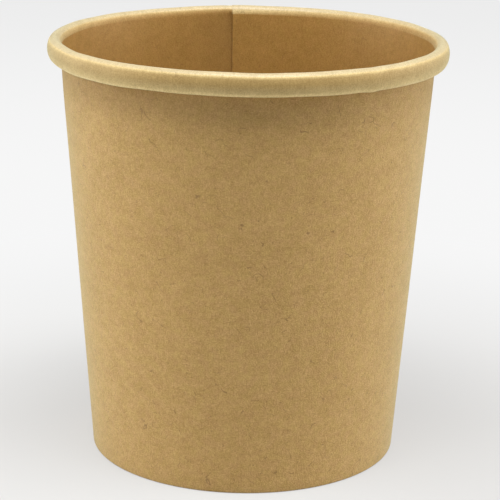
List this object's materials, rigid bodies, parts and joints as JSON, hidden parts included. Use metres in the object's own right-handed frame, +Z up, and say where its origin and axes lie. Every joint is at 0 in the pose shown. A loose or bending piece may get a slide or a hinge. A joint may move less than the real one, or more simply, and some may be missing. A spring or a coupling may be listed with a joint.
{
  "type": "paper soup bowl",
  "caption": "Tall tapered paperboard soup bowl with a rolled rim, a lap seam and a recessed base, for hot food to go.",
  "frame": {"origin": "centre of the foot ring, on the table", "axes": "+Z up along the bowl's axis, +Y towards the sidewall's lap seam"},
  "size_m": [0.098, 0.098, 0.104],
  "materials": {
    "sidewall_board": "matt unbleached brown board, with a faintly glossy food coating on the inner face",
    "base_board": "unbleached brown board, coated on top"
  },
  "bodies": {
    "root": {"sidewall": "sidewall_board", "base": "base_board"}
  },
  "joints": []
}
